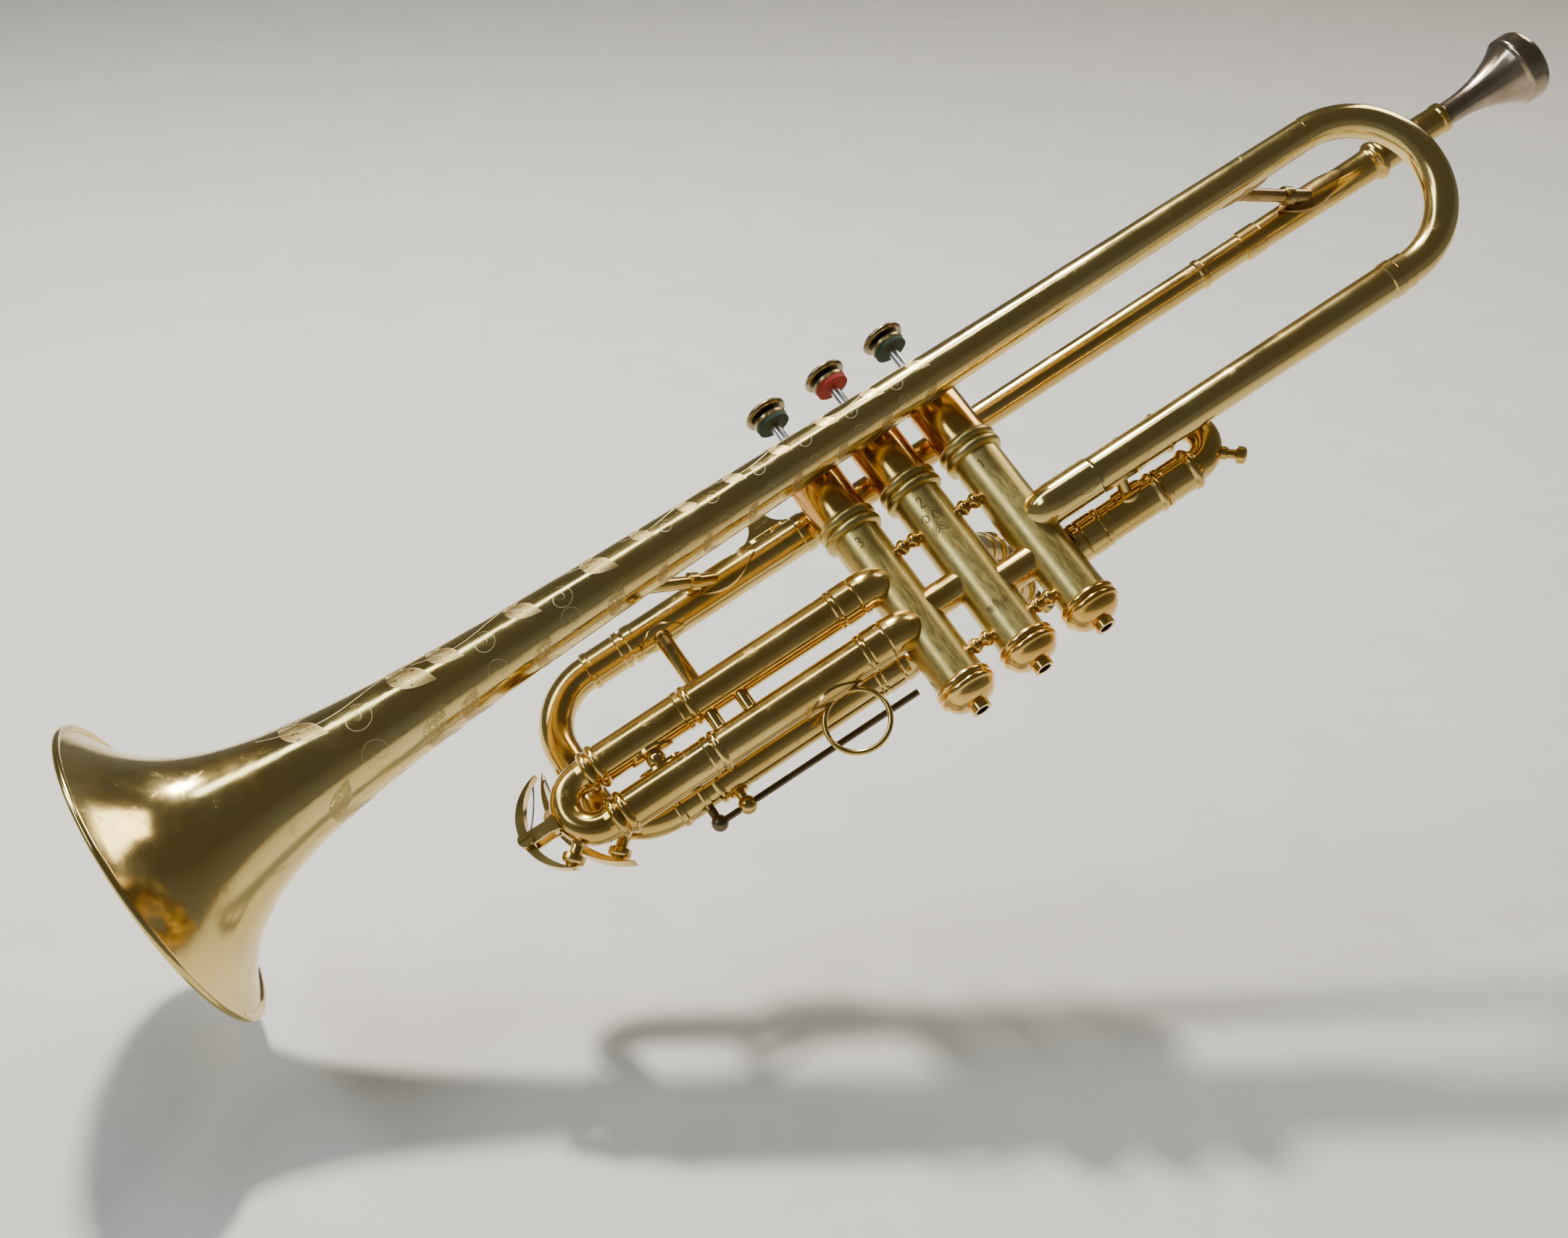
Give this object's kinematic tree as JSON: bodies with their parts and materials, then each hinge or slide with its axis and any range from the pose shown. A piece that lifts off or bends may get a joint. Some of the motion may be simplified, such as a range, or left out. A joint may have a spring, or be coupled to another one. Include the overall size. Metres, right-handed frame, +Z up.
{
  "type": "trumpet",
  "caption": "Piston-valve trumpet with flared bell, tuning slide, valve slides, finger hook, finger ring, water keys and mouthpiece.",
  "frame": {"origin": "middle valve's axis, at the foot of its bottom cap", "axes": "+Z up along the valves, +X towards the mouthpiece, -X towards the bell mouth, -Y the side where the bell tube runs"},
  "size_m": [0.5766, 0.1188, 0.1648],
  "materials": {
    "gold_brass": "polished gold-lacquered brass with fine scratches",
    "dull_brass": "worn, darkened brass",
    "nickel": "worn silver plate",
    "monel": "honed",
    "spring_steel": "plain",
    "felt_green": "dark green felt",
    "felt_red": "red felt"
  },
  "bodies": {
    "horn": {"bell": "gold_brass", "bell_bow": "gold_brass", "bell_tail": "gold_brass", "leadpipe": "gold_brass", "receiver": "gold_brass", "main_upper_sleeve": "gold_brass", "main_lower_sleeve": "gold_brass", "rod_guide": "gold_brass", "front_brace": "gold_brass", "rear_brace": "gold_brass", "slide_brace": "gold_brass", "finger_hook": "gold_brass", "crossover_tubes": "gold_brass", "casing_braces": "gold_brass", "third_upper_sleeve": "gold_brass", "third_lower_sleeve": "gold_brass", "finger_ring": "gold_brass", "third_spacers": "gold_brass", "first_upper_sleeve": "gold_brass", "first_lower_sleeve": "gold_brass", "first_brace": "gold_brass", "second_sleeves": "gold_brass", "bell_rim_wire": "dull_brass", "casing_1": "gold_brass", "top_cap_1": "gold_brass", "bottom_cap_1": "gold_brass", "valve_spring_1": "spring_steel", "casing_2": "gold_brass", "top_cap_2": "gold_brass", "bottom_cap_2": "gold_brass", "valve_spring_2": "spring_steel", "casing_3": "gold_brass", "top_cap_3": "gold_brass", "bottom_cap_3": "gold_brass", "valve_spring_3": "spring_steel"},
    "main_slide": {"main_bow": "gold_brass", "main_upper_leg": "gold_brass", "main_lower_leg": "gold_brass", "stop_rod": "dull_brass", "main_key_post": "gold_brass"},
    "main_key": {"main_water_key": "gold_brass"},
    "third_slide_body": {"third_crook": "gold_brass", "third_upper_leg": "gold_brass", "third_lower_leg": "gold_brass", "third_cross_brace": "gold_brass", "third_key_post": "gold_brass"},
    "third_key": {"third_water_key": "gold_brass"},
    "first_slide_body": {"first_slide": "gold_brass"},
    "second_slide_body": {"second_slide": "gold_brass"},
    "mouthpiece_body": {"mouthpiece": "nickel"},
    "valve_1": {"piston_1": "monel", "finger_button_1": "dull_brass", "button_felt_1": "felt_green"},
    "valve_2": {"piston_2": "monel", "finger_button_2": "dull_brass", "button_felt_2": "felt_red"},
    "valve_3": {"piston_3": "monel", "finger_button_3": "dull_brass", "button_felt_3": "felt_green"}
  },
  "joints": [
    {"name": "valve_1_press", "type": "slide", "parent": "horn", "child": "valve_1", "axis": [0, 0, -1], "range_m": [0, 0.016], "stiffness_N_per_m": 90, "springref_m": -0.022, "deforming": ["valve_spring_1"]},
    {"name": "valve_2_press", "type": "slide", "parent": "horn", "child": "valve_2", "axis": [0, 0, -1], "range_m": [0, 0.016], "stiffness_N_per_m": 90, "springref_m": -0.022, "deforming": ["valve_spring_2"]},
    {"name": "valve_3_press", "type": "slide", "parent": "horn", "child": "valve_3", "axis": [0, 0, -1], "range_m": [0, 0.016], "stiffness_N_per_m": 90, "springref_m": -0.022, "deforming": ["valve_spring_3"]},
    {"name": "main_slide_pull", "type": "slide", "parent": "horn", "child": "main_slide", "axis": [-1, 0, 0], "range_m": [0, 0.045]},
    {"name": "third_slide_pull", "type": "slide", "parent": "horn", "child": "third_slide_body", "axis": [-1, 0, 0], "range_m": [0, 0.025]},
    {"name": "first_slide_pull", "type": "slide", "parent": "horn", "child": "first_slide_body", "axis": [1, 0, 0], "range_m": [0, 0.02]},
    {"name": "second_slide_pull", "type": "slide", "parent": "horn", "child": "second_slide_body", "axis": [0.5, 0.866, 0], "range_m": [0, 0.006]},
    {"name": "mouthpiece_pull", "type": "slide", "parent": "horn", "child": "mouthpiece_body", "axis": [1, 0, 0], "range_m": [0, 0.03]},
    {"name": "main_key_turn", "type": "hinge", "parent": "main_slide", "child": "main_key", "pos_m": [-0.16685, 0.01116, 0.05507], "axis": [0, 0.9897, -0.1434], "range_deg": [0, 10], "stiffness_Nm_per_rad": 0.02, "springref_deg": -34.38},
    {"name": "third_key_turn", "type": "hinge", "parent": "third_slide_body", "child": "third_key", "pos_m": [-0.1768, -0.007, 0.0469], "axis": [0, 1, 0], "range_deg": [0, 15], "stiffness_Nm_per_rad": 0.02, "springref_deg": -34.38}
  ]
}
